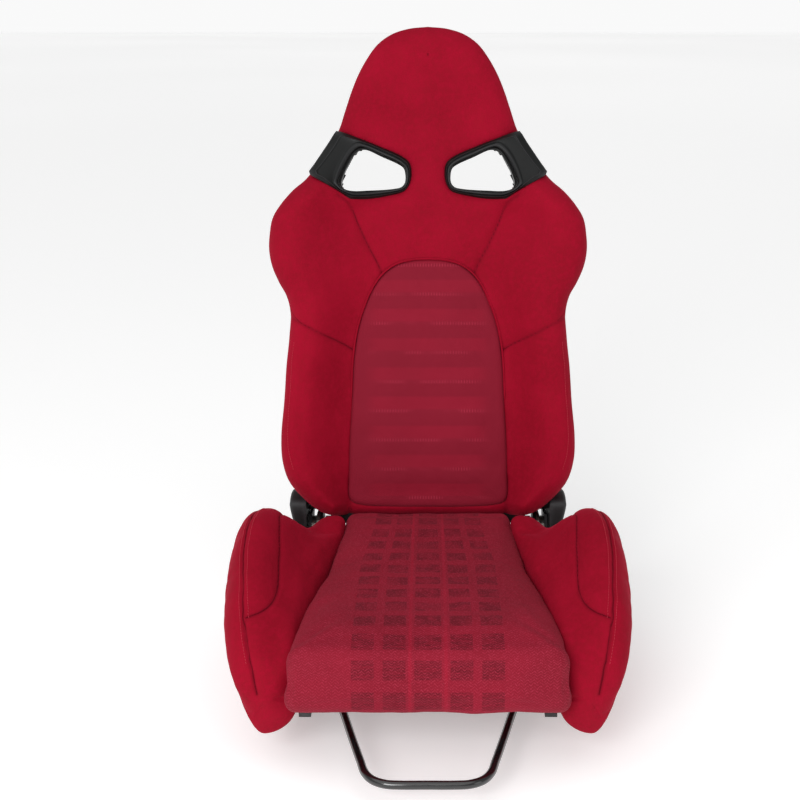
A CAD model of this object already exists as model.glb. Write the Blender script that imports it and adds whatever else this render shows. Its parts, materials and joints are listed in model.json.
"""Reclining sport seat: upholstery, trims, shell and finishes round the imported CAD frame.

Lengths in this script are millimetres until a mesh is made; make_mesh turns them into metres.
+X is the sitter's left, -Y is the way the sitter faces and +Z is up, as in the CAD frame.
"""

import json
import math

import bmesh
import bpy
import numpy as np
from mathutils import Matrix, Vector
from mathutils.bvhtree import BVHTree


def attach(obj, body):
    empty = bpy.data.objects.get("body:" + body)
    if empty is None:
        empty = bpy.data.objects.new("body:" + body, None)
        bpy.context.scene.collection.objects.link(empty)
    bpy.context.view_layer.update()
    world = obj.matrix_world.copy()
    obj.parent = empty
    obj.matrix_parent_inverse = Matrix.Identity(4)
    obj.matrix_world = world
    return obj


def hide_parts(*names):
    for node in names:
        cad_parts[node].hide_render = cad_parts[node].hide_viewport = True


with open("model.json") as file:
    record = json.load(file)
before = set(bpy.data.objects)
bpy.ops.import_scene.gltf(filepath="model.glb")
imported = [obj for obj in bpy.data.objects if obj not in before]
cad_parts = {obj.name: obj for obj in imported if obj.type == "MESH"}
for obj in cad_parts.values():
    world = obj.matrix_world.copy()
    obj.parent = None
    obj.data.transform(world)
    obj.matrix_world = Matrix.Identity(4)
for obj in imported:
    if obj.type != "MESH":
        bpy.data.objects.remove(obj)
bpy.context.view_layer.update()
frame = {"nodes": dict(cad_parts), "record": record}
NODES = frame["nodes"]
MM = 0.001

# ------------------------------------------------------------------ driving dimensions
ORIGIN_SHIFT = 36.5          # the working frame's origin lies this far in front of the row's
BACK_START = (104.0, 197.0)  # y and z of the backrest's front face at its lower end
BACK_LEAN = math.radians(15)
BACK_STRAIGHT = 400.0
BACK_BEND_RADIUS = 2292.0
SHELL_REAR = 108.0
BOLSTER_HEIGHT = 46.0
BAND_START = 26.0            # the insert's woven bands: where they start up the backrest
BAND_PITCH = 49.0

# Half width of the backrest at each distance s up its face.
BACK_OUTLINE = [
    (0, -3), (110, -3), (158, -1), (184, 8), (216, 36), (234, 60), (244, 92), (246, 132), (241, 190),
    (237, 250),
    (232, 300), (230, 341), (236, 368), (249, 392), (260, 418), (265, 445), (264, 470), (259, 498),
    (245, 522), (226, 545), (203, 566), (178, 605), (164, 628), (150, 650), (139, 680), (129, 708),
    (117, 736),
    (102, 762), (84, 785), (61, 801), (32, 810), (0, 813),
]
SLOT_OUTLINE = [
    (122, 606), (114, 612), (104, 613), (76, 601), (51, 590), (41, 583), (38, 572), (39, 559), (45, 552),
    (58, 549), (97, 546), (128, 544.5), (140, 548), (144, 556), (141, 570), (132, 590),
]
TRIM_OUTLINE = [
    (151, 646), (148, 644.6), (138, 641), (80, 619), (42, 602), (30, 591), (28, 566), (38, 546), (72, 536),
    (105, 531), (127, 530.6), (130, 531), (133, 532.6), (147, 542), (180, 561), (197, 571.5), (199, 573),
    (198, 576), (190, 588), (178, 607), (166, 626), (154, 645),
]
INSERT_OUTLINE = [
    (0, 13), (60, 13), (112, 16), (128, 21), (134, 32), (134, 60), (132, 130), (128, 194), (125, 262),
    (118, 312), (108, 346),
    (94, 379), (77, 404), (55, 421), (28, 429), (0, 431),
]


# ------------------------------------------------------------------ numeric helpers
def smoothstep(low, high, value):
    t = np.clip((np.asarray(value, float) - low) / (high - low), 0, 1)
    return t * t * (3 - 2 * t)


def mix(a, b, t):
    return a + (b - a) * t


def spline(points, spacing, closed=False):
    """Centripetal Catmull-Rom through points, resampled at equal spacing."""
    p = np.array(points, float)
    p = np.vstack([p[-1], p, p[:2]]) if closed else np.vstack([2 * p[0] - p[1], p, 2 * p[-1] - p[-2]])
    out = []
    for p0, p1, p2, p3 in zip(p, p[1:], p[2:], p[3:]):
        k = [max(np.linalg.norm(b - a), 1e-6) ** 0.5 for a, b in ((p0, p1), (p1, p2), (p2, p3))]
        m1 = (p2 - p1) + k[1] * ((p1 - p0) / k[0] - (p2 - p0) / (k[0] + k[1]))
        m2 = (p2 - p1) + k[1] * ((p3 - p2) / k[2] - (p3 - p1) / (k[1] + k[2]))
        t = np.linspace(0, 1, 24, endpoint=False)[:, None]
        out.append((2 * t**3 - 3 * t**2 + 1) * p1 + (t**3 - 2 * t**2 + t) * m1
                   + (3 * t**2 - 2 * t**3) * p2 + (t**3 - t**2) * m2)
    out.append(p[-2][None] if not closed else p[1][None])
    return resample(np.vstack(out), spacing)


def resample(line, spacing):
    """Points at equal steps along a polyline, both ends kept."""
    line = np.array(line, float)
    run = np.r_[0, np.cumsum(np.linalg.norm(np.diff(line, axis=0), axis=1))]
    count = max(2, int(round(run[-1] / spacing)) + 1)
    at = np.linspace(0, run[-1], count)
    return np.stack([np.interp(at, run, line[:, k]) for k in range(line.shape[1])], axis=1)


def mirrored_outline(half):
    """A closed outline from its right half, which runs from the lowest middle point to the highest."""
    half = np.array(half, float)
    left = half[::-1] * (-1, 1)
    return np.vstack([half, left[1:-1]])


def line_distance(points, line, closed=False):
    """Signed distance to a polyline in its plane, and the length along it; left of its run is positive."""
    points = np.asarray(points, float)
    line = np.asarray(line, float)
    ends = np.vstack([line[1:], line[:1]]) if closed else line[1:]
    starts = line if closed else line[:-1]
    best = np.full(len(points), 1e9)
    sign = np.ones(len(points))
    along = np.zeros(len(points))
    run = 0.0
    for a, b in zip(starts, ends):
        ab = b - a
        length = np.linalg.norm(ab)
        if length < 1e-9:
            continue
        rel = points - a
        t = np.clip((rel @ ab) / length**2, 0, 1)
        gap = rel - t[:, None] * ab
        d = np.linalg.norm(gap, axis=1)
        near = d < best - 1e-9
        best[near] = d[near]
        sign[near] = np.sign(ab[0] * rel[near, 1] - ab[1] * rel[near, 0] + 1e-12)
        along[near] = run + t[near] * length
        run += length
    return best * sign, along


def inside_distance(points, outline):
    """Distance to a closed outline, positive inside it."""
    d, _ = line_distance(points, outline, closed=True)
    d = np.abs(d)
    x, y = np.asarray(points, float).T
    inside = np.zeros(len(x), bool)
    ring = np.asarray(outline, float)
    for (x0, y0), (x1, y1) in zip(ring, np.roll(ring, -1, axis=0)):
        if y0 == y1:
            continue
        crosses = (y0 > y) != (y1 > y)
        inside ^= crosses & (x < x0 + (y - y0) * (x1 - x0) / (y1 - y0))
    return np.where(inside, d, -d)


def inward_normals(ring):
    """Unit normals of a closed outline, to the left of its run."""
    ahead = np.roll(ring, -1, axis=0) - np.roll(ring, 1, axis=0)
    normal = np.stack([-ahead[:, 1], ahead[:, 0]], axis=1)
    return normal / np.linalg.norm(normal, axis=1)[:, None]


def grown(ring, distance):
    """A closed ring moved outwards along its normals."""
    normal = -inward_normals(ring)
    if np.mean(np.sum(normal * (ring - ring.mean(axis=0)), axis=1)) < 0:
        normal = -normal
    return ring + normal * distance


def folded(plane):
    """Plane points with both sides of the seat laid on the +X side."""
    return np.stack([np.abs(plane[:, 0]), plane[:, 1]], axis=1)


def back_point(x, s, t):
    """The point x across, s up the backrest's face and t behind it, in the row frame."""
    x, s, t = np.broadcast_arrays(np.asarray(x, float), np.asarray(s, float), np.asarray(t, float))
    lean = BACK_LEAN - np.maximum(0, s - BACK_STRAIGHT) / BACK_BEND_RADIUS
    straight = np.minimum(s, BACK_STRAIGHT)
    sine, cosine = math.sin(BACK_LEAN), math.cos(BACK_LEAN)
    y = BACK_START[0] + straight * sine + BACK_BEND_RADIUS * (np.cos(lean) - cosine)
    z = BACK_START[1] + straight * cosine + BACK_BEND_RADIUS * (sine - np.sin(lean))
    return np.stack([x, y + t * np.cos(lean) + ORIGIN_SHIFT, z - t * np.sin(lean)], axis=-1)


# ------------------------------------------------------------------ mesh helpers
def make_mesh(name, points, faces):
    mesh = bpy.data.meshes.new(name)
    mesh.from_pydata((np.asarray(points, float) * MM).tolist(), [], [tuple(map(int, f)) for f in faces])
    mesh.validate()
    mesh.shade_smooth()
    piece = bpy.data.objects.new(name, mesh)
    bpy.context.scene.collection.objects.link(piece)
    return piece


def grid_faces(rows, columns, wrap=False):
    """Quads of a grid whose points run along the columns first."""
    faces = []
    last = columns if wrap else columns - 1
    for r in range(rows - 1):
        for c in range(last):
            a = r * columns + c
            b = r * columns + (c + 1) % columns
            faces.append((a, b, b + columns, a + columns))
    return faces


def face_outwards(piece):
    bm = bmesh.new()
    bm.from_mesh(piece.data)
    bmesh.ops.recalc_face_normals(bm, faces=bm.faces)
    bm.to_mesh(piece.data)
    bm.free()


def mirror_copy(piece, name):
    twin = piece.copy()
    twin.data = piece.data.copy()
    twin.name = name
    twin.data.name = name
    for vertex in twin.data.vertices:
        vertex.co.x = -vertex.co.x
    twin.data.flip_normals()
    bpy.context.scene.collection.objects.link(twin)
    return twin


def point_value(piece, name, values):
    """A number at each vertex, which the materials read."""
    attribute = piece.data.attributes.new(name, "FLOAT", "POINT")
    attribute.data.foreach_set("value", np.asarray(values, np.float32))


def point_place(piece, name, values):
    """A place on the cloth at each vertex, in millimetres, which the materials read."""
    attribute = piece.data.attributes.new(name, "FLOAT_VECTOR", "POINT")
    attribute.data.foreach_set("vector", np.asarray(values, np.float32).ravel())


def coordinates(piece):
    co = np.zeros(len(piece.data.vertices) * 3, np.float32)
    piece.data.vertices.foreach_get("co", co)
    return co.reshape(-1, 3).astype(float) / MM


def set_coordinates(piece, points):
    piece.data.vertices.foreach_set("co", (np.asarray(points) * MM).astype(np.float32).ravel())
    piece.data.update()


def vertex_normals(piece):
    return np.array([v.normal for v in piece.data.vertices], float)


def finish_piece(piece, body, material, replaced=()):
    piece.data.materials.clear()
    piece.data.materials.append(material)
    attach(piece, body)
    if replaced:
        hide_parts(*replaced)
    return piece


def finish_pair(left, body, material, replaced=None):
    """Finishes a left-hand piece and its mirror image; replaced is the CAD pair's name without its side."""
    right = mirror_copy(left, left.name.replace("_left", "_right"))
    for piece, side in ((left, "_left"), (right, "_right")):
        finish_piece(piece, body, material, (replaced + side,) if replaced else ())


def sweep(points, section, ups):
    """Points and faces of a section swept along a line; ups gives its upward way at each point."""
    p = np.array(points, float)
    tangent = np.gradient(p, axis=0)
    tangent /= np.linalg.norm(tangent, axis=1)[:, None]
    side = np.cross(tangent, ups)
    side /= np.linalg.norm(side, axis=1)[:, None]
    ups = np.cross(side, tangent)
    section = np.asarray(section, float)
    rings = p[:, None] + section[:, :1] * side[:, None] + section[:, 1:] * ups[:, None]
    n, k = rings.shape[:2]
    faces = grid_faces(n, k, wrap=True)
    faces += [tuple(range(k))[::-1], tuple((n - 1) * k + i for i in range(k))]
    return rings.reshape(-1, 3), faces


def stacked(rings):
    """Points and faces of a solid through rings of points, both ends closed flat."""
    count = len(rings[0])
    faces = grid_faces(len(rings), count, wrap=True)
    faces += [tuple(range(count)), tuple(range((len(rings) - 1) * count, len(rings) * count))]
    return np.vstack(rings), faces


def circle(radius, sides):
    angle = np.linspace(0, 2 * np.pi, sides, endpoint=False)
    return radius * np.stack([np.cos(angle), np.sin(angle)], axis=1)


def merge(parts):
    """One list of points and faces from several."""
    points, faces, offset = [], [], 0
    for p, f in parts:
        points.append(np.asarray(p, float))
        faces += [tuple(i + offset for i in face) for face in f]
        offset += len(p)
    return np.vstack(points), faces


# ------------------------------------------------------------------ materials
class Shader:
    """A node material whose nodes are made by short calls."""

    def __init__(self, name):
        self.material = bpy.data.materials.new(name)
        self.material.use_nodes = True
        self.tree = self.material.node_tree
        self.surface = self.tree.nodes["Principled BSDF"]

    def node(self, kind, inputs=None, **settings):
        made = self.tree.nodes.new("ShaderNode" + kind)
        for key, value in settings.items():
            setattr(made, key, value)
        for key, value in (inputs or {}).items():
            self.put(made.inputs[key], value)
        return made

    def put(self, socket, value):
        if isinstance(value, bpy.types.NodeSocket):
            self.tree.links.new(value, socket)
        elif isinstance(value, bpy.types.Node):
            self.tree.links.new(value.outputs[0], socket)
        else:
            socket.default_value = value

    def math(self, operation, a, b=0.0, c=0.0):
        made = self.node("Math", operation=operation)
        for socket, value in zip(made.inputs, (a, b, c)):
            self.put(socket, value)
        return made.outputs[0]

    def attribute(self, name, output="Fac"):
        return self.node("Attribute", attribute_name=name).outputs[output]

    def object_place(self):
        return self.node("TexCoord").outputs["Object"]

    def noise(self, place, scale, detail=2.0, roughness=0.5):
        inputs = {"Vector": place, "Scale": scale, "Detail": detail, "Roughness": roughness}
        made = self.node("TexNoise", inputs)
        return made.outputs["Fac"]

    def ramp(self, value, low, high, to_low=0.0, to_high=1.0):
        made = self.node("MapRange", {"Value": value, "From Min": low, "From Max": high,
                                      "To Min": to_low, "To Max": to_high})
        made.interpolation_type = "SMOOTHSTEP"
        return made.outputs[0]

    def mix_color(self, share, a, b):
        made = self.node("Mix", data_type="RGBA")
        self.put(made.inputs[0], share)
        self.put(made.inputs[6], a)
        self.put(made.inputs[7], b)
        return made.outputs[2]

    def bump(self, height, distance, strength):
        return self.node("Bump", {"Height": height, "Distance": distance, "Strength": strength}).outputs[0]

    def finish(self, **sockets):
        for key, value in sockets.items():
            self.put(self.surface.inputs[key.replace("_", " ")], value)
        return self.material


def rgb(r, g, b):
    """Linear colour from 0-255 screen values."""
    shares = [v / 255 for v in (r, g, b)]
    return tuple(v / 12.92 if v <= 0.04 else ((v + 0.055) / 1.055) ** 2.4 for v in shares) + (1.0,)


def red_knit():
    """Brushed polyester knit: fine ribs, a soft nap that catches light, faint mottling, darker seam lines."""
    m = Shader("red_knit")
    place = m.object_place()
    seam = m.math("ABSOLUTE", m.attribute("seam"))
    groove = m.ramp(seam, 0.0, 5.0, 1.0, 0.0)
    cloudy = m.noise(place, 9.0, 4.0, 0.55)
    nap = m.noise(place, 140.0, 3.0, 0.6)
    ribs = m.noise(m.node("Mapping", {"Vector": place, "Scale": (1.0, 1.0, 0.35)}), 1500.0, 2.0, 0.5)
    tone = m.mix_color(m.ramp(cloudy, 0.3, 0.7), rgb(136, 2, 28), rgb(150, 4, 34))
    tone = m.mix_color(m.ramp(nap, 0.35, 0.75, 0.0, 0.35), tone, rgb(166, 14, 46))
    tone = m.mix_color(m.ramp(ribs, 0.3, 0.7, 0.22, 0.0), tone, rgb(96, 2, 18))
    tone = m.mix_color(m.math("MULTIPLY", groove, 0.32), tone, rgb(70, 0, 12))
    height = m.math("ADD", m.math("MULTIPLY", ribs, 0.35), m.math("MULTIPLY", nap, 0.4))
    normal = m.bump(height, 0.0006, 0.55)
    return m.finish(Base_Color=tone, Roughness=m.ramp(nap, 0.2, 0.8, 0.78, 0.95), Normal=normal,
                    Sheen_Weight=0.3, Sheen_Roughness=0.35, Sheen_Tint=rgb(225, 50, 85),
                    Specular_IOR_Level=0.12)


def weave_nodes(m, cloth, pitch):
    """Plain weave with a diamond twill: 0 in the valleys, 1 on top of a yarn. cloth is in millimetres."""
    split = m.node("SeparateXYZ", {"Vector": cloth})
    u, v = split.outputs[0], split.outputs[1]
    turn = 2 * math.pi / pitch
    warp = m.math("SINE", m.math("MULTIPLY", u, turn))
    weft = m.math("SINE", m.math("MULTIPLY", v, turn))
    basket = m.math("MULTIPLY_ADD", m.math("MULTIPLY", warp, weft), 0.5, 0.5)
    zigzag = m.math("ABSOLUTE", m.math("SUBTRACT", m.math("FRACT", m.math("DIVIDE", u, pitch * 4.0)), 0.5))
    slant = m.math("FRACT", m.math("ADD", m.math("DIVIDE", v, pitch * 2.0), m.math("MULTIPLY", zigzag, 2.0)))
    twill = m.ramp(m.math("ABSOLUTE", m.math("SUBTRACT", slant, 0.5)), 0.05, 0.42)
    return u, v, basket, twill


def woven_finish(m, tone, rough, normal):
    """The material of a woven insert, with its pink sheen."""
    return m.finish(Base_Color=tone, Roughness=rough, Normal=normal, Sheen_Weight=0.08,
                    Sheen_Roughness=0.4, Sheen_Tint=rgb(255, 120, 140), Specular_IOR_Level=0.2)


def back_weave():
    """Insert cloth of the backrest: fine twill, wide bands and short ticks along each band's edge."""
    m = Shader("insert_back_weave")
    cloth = m.attribute("cloth", "Vector")
    place = m.object_place()
    u, v, basket, twill = weave_nodes(m, cloth, 1.5)
    band = m.math("FRACT", m.math("DIVIDE", m.math("ADD", v, -BAND_START), BAND_PITCH))
    upper = m.math("MULTIPLY", m.ramp(band, 0.10, 0.16), m.ramp(band, 0.52, 0.60, 1.0, 0.0))
    edge = m.math("MULTIPLY", m.ramp(band, 0.0, 0.03), m.ramp(band, 0.10, 0.14, 1.0, 0.0))
    within = m.ramp(m.math("ABSOLUTE", u), 78.0, 112.0, 1.0, 0.0)
    patchy = m.ramp(m.noise(place, 26.0, 2.0), 0.40, 0.56, 0.1, 1.0)
    ticks = m.ramp(m.math("SINE", m.math("MULTIPLY", u, 2 * math.pi / 4.6)), 0.2, 0.7)
    ticks = m.math("MULTIPLY", m.math("MULTIPLY", ticks, edge), m.math("MULTIPLY", within, patchy))
    tone = m.mix_color(m.math("MULTIPLY", upper, within), rgb(126, 12, 36), rgb(140, 14, 40))
    tone = m.mix_color(m.math("MULTIPLY", ticks, 0.8), tone, rgb(182, 50, 74))
    tone = m.mix_color(m.ramp(m.noise(place, 7.0, 3.0), 0.35, 0.7, 0.0, 0.30), tone, rgb(112, 10, 30))
    tone = m.mix_color(m.math("MULTIPLY", twill, 0.28), tone, rgb(160, 34, 58))
    tone = m.mix_color(m.ramp(basket, 0.0, 0.5, 0.35, 0.0), tone, rgb(70, 4, 16))
    seam = m.math("ABSOLUTE", m.attribute("seam"))
    tone = m.mix_color(m.ramp(seam, 0.0, 1.6, 0.7, 0.0), tone, rgb(56, 0, 8))
    height = m.math("ADD", m.math("MULTIPLY", basket, 0.6), m.math("MULTIPLY", twill, 0.4))
    height = m.math("ADD", height, m.math("MULTIPLY", ticks, 0.8))
    return woven_finish(m, tone, m.ramp(basket, 0.0, 1.0, 0.92, 0.72), m.bump(height, 0.0005, 0.7))


def seat_weave():
    """Insert cloth of the seat: the same twill with a plain woven check of darker blocks down its middle."""
    m = Shader("insert_seat_weave")
    cloth = m.attribute("cloth", "Vector")
    place = m.object_place()
    u, v, basket, twill = weave_nodes(m, cloth, 2.2)
    across = m.math("ABSOLUTE", u)
    spread = m.math("MULTIPLY", across, m.ramp(v, 20.0, 240.0, 1.2, 1.0))
    within = m.ramp(spread, 106.0, 109.0, 1.0, 0.0)
    row = m.math("FRACT", m.math("DIVIDE", m.math("ADD", v, 14.0), 46.0))
    rows = m.math("MULTIPLY", m.ramp(row, 0.12, 0.17), m.ramp(row, 0.76, 0.81, 1.0, 0.0))
    wide = m.math("FRACT", m.math("DIVIDE", m.math("ADD", spread, 18.0), 42.0))
    column = m.math("MULTIPLY", m.ramp(wide, 0.12, 0.16), m.ramp(wide, 0.84, 0.88, 1.0, 0.0))
    blocks = m.math("MULTIPLY", m.math("MULTIPLY", rows, within), column)
    beside = m.math("ABSOLUTE", m.math("SUBTRACT", across, 24.0))
    stripe = m.math("MULTIPLY", m.ramp(beside, 1.0, 3.5, 1.0, 0.0), 0.5)
    spots = m.noise(m.node("Mapping", {"Vector": cloth, "Scale": (0.045, 0.03, 1.0)}), 1.0, 1.0)
    faded = m.ramp(spots, 0.35, 0.62, 0.35, 0.9)
    tone = m.mix_color(m.ramp(m.noise(place, 8.0, 3.0), 0.35, 0.7), rgb(124, 10, 32), rgb(138, 14, 38))
    tone = m.mix_color(stripe, tone, rgb(156, 12, 40))
    tone = m.mix_color(m.math("MULTIPLY", blocks, faded), tone, rgb(88, 3, 19))
    flecks = m.node("Mapping", {"Vector": cloth, "Scale": (0.5, 0.4, 1.0)})
    specks = m.ramp(m.noise(flecks, 1.0, 1.0), 0.45, 0.65)
    tone = m.mix_color(m.math("MULTIPLY", m.math("MULTIPLY", twill, specks), 0.6), tone, rgb(176, 52, 76))
    tone = m.mix_color(m.math("MULTIPLY", twill, 0.2), tone, rgb(160, 34, 58))
    tone = m.mix_color(m.ramp(basket, 0.0, 0.5, 0.40, 0.0), tone, rgb(78, 4, 18))
    seam = m.math("ABSOLUTE", m.attribute("seam"))
    tone = m.mix_color(m.ramp(seam, 0.0, 1.8, 0.7, 0.0), tone, rgb(60, 0, 10))
    height = m.math("ADD", m.math("MULTIPLY", basket, 0.6), m.math("MULTIPLY", twill, 0.5))
    height = m.math("SUBTRACT", height, m.math("MULTIPLY", blocks, 0.5))
    return woven_finish(m, tone, m.ramp(basket, 0.0, 1.0, 0.92, 0.70), m.bump(height, 0.0006, 0.75))


def thread():
    m = Shader("red_thread")
    place = m.object_place()
    twist = m.noise(place, 2600.0, 1.0)
    tone = m.mix_color(m.ramp(twist, 0.35, 0.65), rgb(150, 14, 34), rgb(196, 44, 66))
    return m.finish(Base_Color=tone, Roughness=m.ramp(twist, 0.3, 0.7, 0.45, 0.65),
                    Normal=m.bump(twist, 0.0002, 0.6), Specular_IOR_Level=0.4)


def seam_shade():
    """Folded cloth deep in a seam."""
    m = Shader("seam_fold")
    uneven = m.noise(m.object_place(), 900.0, 2.0)
    tone = m.mix_color(m.ramp(uneven, 0.3, 0.7), rgb(84, 0, 16), rgb(108, 3, 24))
    return m.finish(Base_Color=tone, Roughness=m.ramp(uneven, 0.3, 0.7, 0.85, 0.95), Specular_IOR_Level=0.1)


def moulded_plastic(name, low, high, gloss_low, gloss_high, grain, shine):
    """Injection-moulded black plastic: fine leather-like grain, handling marks and a duller worn edge."""
    m = Shader(name)
    place = m.object_place()
    cells = m.node("TexVoronoi", {"Vector": place, "Scale": 900.0}).outputs["Distance"]
    soft = m.noise(place, 12.0, 4.0)
    streaks = m.noise(m.node("Mapping", {"Vector": place, "Scale": (60.0, 60.0, 6.0)}), 1.0, 3.0)
    worn = m.ramp(m.node("NewGeometry").outputs["Pointiness"], 0.505, 0.56, 0.0, 0.5)
    tone = m.mix_color(m.ramp(soft, 0.3, 0.7), low, high)
    tone = m.mix_color(worn, tone, rgb(62, 62, 64))
    gloss = m.ramp(soft, 0.25, 0.75, gloss_low, gloss_high)
    rough = m.math("ADD", gloss, m.ramp(streaks, 0.55, 0.8, 0.0, 0.12))
    return m.finish(Base_Color=tone, Roughness=rough, Normal=m.bump(cells, 0.00025, grain),
                    Specular_IOR_Level=shine)


def coated_steel(name, low, high, gloss_low, gloss_high, peel, coat=0.0):
    """Painted steel: orange peel, dust in the dull patches and bright rubbed edges."""
    m = Shader(name)
    place = m.object_place()
    ripple = m.noise(place, 420.0, 2.0)
    soft = m.noise(place, 16.0, 4.0)
    scratch = m.noise(m.node("Mapping", {"Vector": place, "Scale": (40.0, 900.0, 900.0)}), 1.0, 2.0)
    rubbed = m.ramp(m.node("NewGeometry").outputs["Pointiness"], 0.55, 0.66, 0.0, 0.12)
    tone = m.mix_color(m.ramp(soft, 0.3, 0.75), low, high)
    tone = m.mix_color(m.math("MULTIPLY", rubbed, m.ramp(scratch, 0.4, 0.6)), tone, rgb(150, 150, 152))
    gloss = m.ramp(soft, 0.3, 0.7, gloss_low, gloss_high)
    rough = m.math("ADD", gloss, m.ramp(scratch, 0.6, 0.75, 0.0, 0.10))
    return m.finish(Base_Color=tone, Roughness=rough, Normal=m.bump(ripple, 0.0002, peel), Coat_Weight=coat,
                    Coat_Roughness=0.08, Specular_IOR_Level=0.5)


def bare_steel(name, low, high, gloss_low, gloss_high, brush):
    """Plated or drawn steel: brushed along one axis, with a faint iridescent stain."""
    m = Shader(name)
    place = m.object_place()
    lines = m.noise(m.node("Mapping", {"Vector": place, "Scale": brush}), 1.0, 3.0)
    stain = m.noise(place, 14.0, 4.0, 0.6)
    tone = m.mix_color(m.ramp(stain, 0.35, 0.7), low, high)
    tone = m.mix_color(m.ramp(lines, 0.35, 0.65, 0.3, 0.0), tone, rgb(70, 68, 66))
    return m.finish(Base_Color=tone, Metallic=1.0, Roughness=m.ramp(stain, 0.3, 0.7, gloss_low, gloss_high),
                    Normal=m.bump(lines, 0.00015, 0.4))


KNIT = red_knit()
BACK_WEAVE = back_weave()
SEAT_WEAVE = seat_weave()
THREAD = thread()
SEAM_SHADE = seam_shade()
TRIM_PLASTIC = moulded_plastic("trim_plastic", rgb(12, 13, 13), rgb(20, 21, 21), 0.34, 0.46, 0.3, 0.22)
SHELL_PLASTIC = moulded_plastic("shell_plastic", rgb(20, 20, 21), rgb(30, 30, 31), 0.5, 0.65, 0.8, 0.35)
FRAME_PAINT = coated_steel("frame_powder_coat", rgb(12, 12, 13), rgb(22, 22, 24), 0.46, 0.62, 0.6)
BAR_ENAMEL = coated_steel("bar_enamel", rgb(8, 8, 9), rgb(16, 16, 17), 0.16, 0.24, 0.15, coat=0.8)
ZINC = bare_steel("zinc_plate", rgb(188, 188, 184), rgb(150, 150, 140), 0.3, 0.45, (6.0, 500.0, 500.0))
SPRING = bare_steel("spring_wire", rgb(96, 94, 92), rgb(60, 58, 58), 0.35, 0.5, (200.0, 30.0, 200.0))


# ------------------------------------------------------------------ sewing
SEAM_RADIUS = 0.55
SEAM_SINK = 0.2


def space_distance(points, line):
    """Distance to a line in space, and the length along it."""
    best = np.full(len(points), 1e9)
    along = np.zeros(len(points))
    run = 0.0
    for a, b in zip(line[:-1], line[1:]):
        ab = b - a
        length = np.linalg.norm(ab)
        t = np.clip(((points - a) @ ab) / length**2, 0, 1)
        d = np.linalg.norm(points - a - t[:, None] * ab, axis=1)
        near = d < best
        best[near] = d[near]
        along[near] = run + t[near] * length
        run += length
    return best, along


def snapped(piece, line, spacing=3.0):
    """A smooth line through points near a piece, laid on its surface, and the surface's normal along it."""
    tree = BVHTree.FromPolygons([tuple(v.co / MM) for v in piece.data.vertices],
                                [tuple(f.vertices) for f in piece.data.polygons])
    places, normals = [], []
    for point in spline(line, spacing):
        place, normal, _, _ = tree.find_nearest(Vector(point))
        places.append(place)
        normals.append(normal)
    return np.array(places), np.array(normals)


def press_seams(piece, seams, wide=2.4, narrow=1.6):
    """Draws the cover in along its seam lines and returns each point's distance to the nearest."""
    points = coordinates(piece)
    normals = vertex_normals(piece)
    nearest = np.full(len(points), 99.0)
    for line in seams:
        d, _ = space_distance(points, line)
        nearest = np.minimum(nearest, d)
    depth = wide * np.exp(-nearest / 9) + narrow * np.exp(-(nearest / 2.2) ** 2)
    set_coordinates(piece, points - normals * depth[:, None])
    return nearest


def stitch_row(line, normals, pitch=4.2, length=2.8, radius=0.42):
    """Short sunk stitches along a line on a surface: points and faces."""
    run = np.r_[0, np.cumsum(np.linalg.norm(np.diff(line, axis=0), axis=1))]
    section = circle(radius, 6)
    parts = []
    for start in np.arange(pitch, run[-1] - pitch, pitch):
        at = start + np.array([0, 0.2, 0.5, 0.8, 1.0]) * length
        rise = np.array([-0.5, 0.25, 0.45, 0.25, -0.5])
        middle = np.stack([np.interp(at, run, line[:, k]) for k in range(3)], axis=1)
        up = np.stack([np.interp(at, run, normals[:, k]) for k in range(3)], axis=1)
        parts.append(sweep(middle + up * rise[:, None], section, ups=up))
    return merge(parts)


def smoothed(values, rounds=8):
    """A line with its small jogs averaged out; its ends stay."""
    values = values.copy()
    for k in range(rounds):
        values[1:-1] = 0.25 * values[:-2] + 0.5 * values[1:-1] + 0.25 * values[2:]
    return values


def seam_lines(piece, lines, name):
    """A dark folded line along each seam of a cover."""
    parts = []
    for line in lines:
        place, normal = snapped(piece, line)
        step = np.linalg.norm(np.diff(place, axis=0), axis=1)
        apart = np.r_[True, step > 0.5]
        place, normal = smoothed(place[apart]), smoothed(normal[apart])
        parts.append(sweep(place - normal * SEAM_SINK, circle(SEAM_RADIUS, 8), ups=normal))
    return make_mesh(name, *merge(parts))


# ------------------------------------------------------------------ backrest cover
COVER_REAR = 74.0
COVER_ROLL = (27.0, 44.0)    # radius of the rolled edge, at the bolsters and at the head
COVER_DROP = (30.0, 25.0)    # how deep that roll goes, at the bolsters and at the head
COVER_SPINE = (40.0, 764.0)  # ends of the middle line that the cover's rings draw in to
COVER_LIP = 12.0             # how far the cover's rear edge stands in from its outline
FACE_STEPS = 62
REAR_RINGS = 8
SLOT_OVERLAP = (4.5, 11.0)   # how far the cover runs under the slot's edge, front and rear
FOOT_LINE = [(0, 134), (250, 128), (330, 116), (400, 92), (437, 88), (488, 116), (523, 132), (545, 150),
             (600, 165)]
CHEST_SEAM = [(150, 537), (132, 523), (117, 488), (99, 450), (89, 432), (76, 405)]
WAIST_SEAM = [(262, 340), (229, 333), (211, 323), (178, 306), (143, 289), (126, 279)]
LOWER_SEAM = [(132, 60), (132, 20), (133, -5)]

back_edge = spline(BACK_OUTLINE, 3.2)
back_ring = mirrored_outline(back_edge)
insert_edge = spline(INSERT_OUTLINE, 4.0)
insert_edge[[0, -1], 0] = 0.0
insert_ring = mirrored_outline(insert_edge)
slot_ring = spline(SLOT_OUTLINE, 3.0, closed=True)[:-1]
trim_ring = spline(TRIM_OUTLINE, 3.0, closed=True)[:-1]


def table_at(table, value):
    keys, values = zip(*table)
    return np.interp(value, keys, values)


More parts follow.
